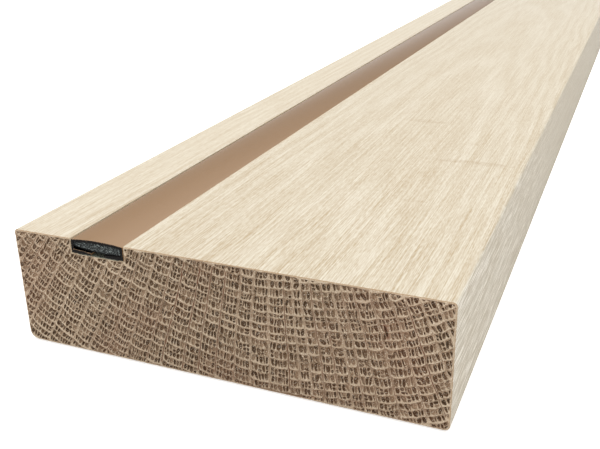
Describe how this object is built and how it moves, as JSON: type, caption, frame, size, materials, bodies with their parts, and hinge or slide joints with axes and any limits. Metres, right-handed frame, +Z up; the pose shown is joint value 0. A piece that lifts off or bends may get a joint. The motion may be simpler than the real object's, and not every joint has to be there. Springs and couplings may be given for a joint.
{
  "type": "threshold strip",
  "caption": "Square-edged solid oak threshold strip with a groove along one side of its top face that holds a brown plastic-cased intumescent fire seal.",
  "frame": {"origin": "middle of the underside, on the surface that the strip lies on", "axes": "+X across the strip from the seal side to the plain side, +Y along its length, +Z up out of the face that holds the seal"},
  "size_m": [0.115, 1, 0.0323],
  "materials": {
    "oak": "planed and fine sanded, unfinished; sawn end grain at both ends",
    "brown_plastic": "satin extruded plastic",
    "graphite_core": "granular, faintly glittering",
    "tape": "matt"
  },
  "bodies": {
    "root": {"oak_sill": "oak", "seal_casing": "brown_plastic", "intumescent_core": "graphite_core", "adhesive_tape": "tape"}
  },
  "joints": []
}
